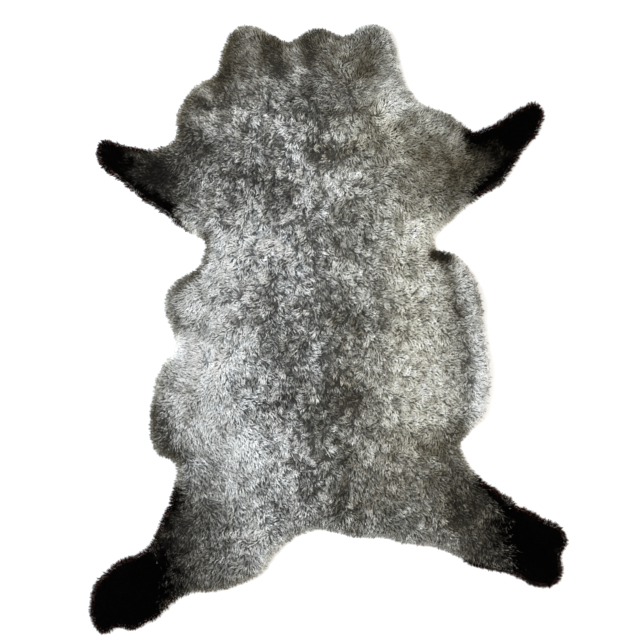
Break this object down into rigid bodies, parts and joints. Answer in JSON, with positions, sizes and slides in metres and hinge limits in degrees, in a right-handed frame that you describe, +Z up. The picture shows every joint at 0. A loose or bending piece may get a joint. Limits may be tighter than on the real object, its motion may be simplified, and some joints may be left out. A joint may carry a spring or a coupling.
{
  "type": "sheepskin rug",
  "caption": "Whole sheepskin with clipped grey wool and dark legs, lying flat on the floor with a ruffled neck edge and a rolled flank.",
  "frame": {"origin": "middle of the outline's box, on the floor under the skin", "axes": "+Z up through the wool, +Y along the back towards the neck edge, +X to the pelt's right as seen from above with the neck away"},
  "size_m": [0.8246, 1.0482, 0.03],
  "materials": {
    "wool": "matt salt and pepper grey wool, almost black on the lower legs",
    "skin": "matt sueded skin side, cream"
  },
  "bodies": {
    "root": {"sheepskin": "wool"}
  },
  "joints": []
}
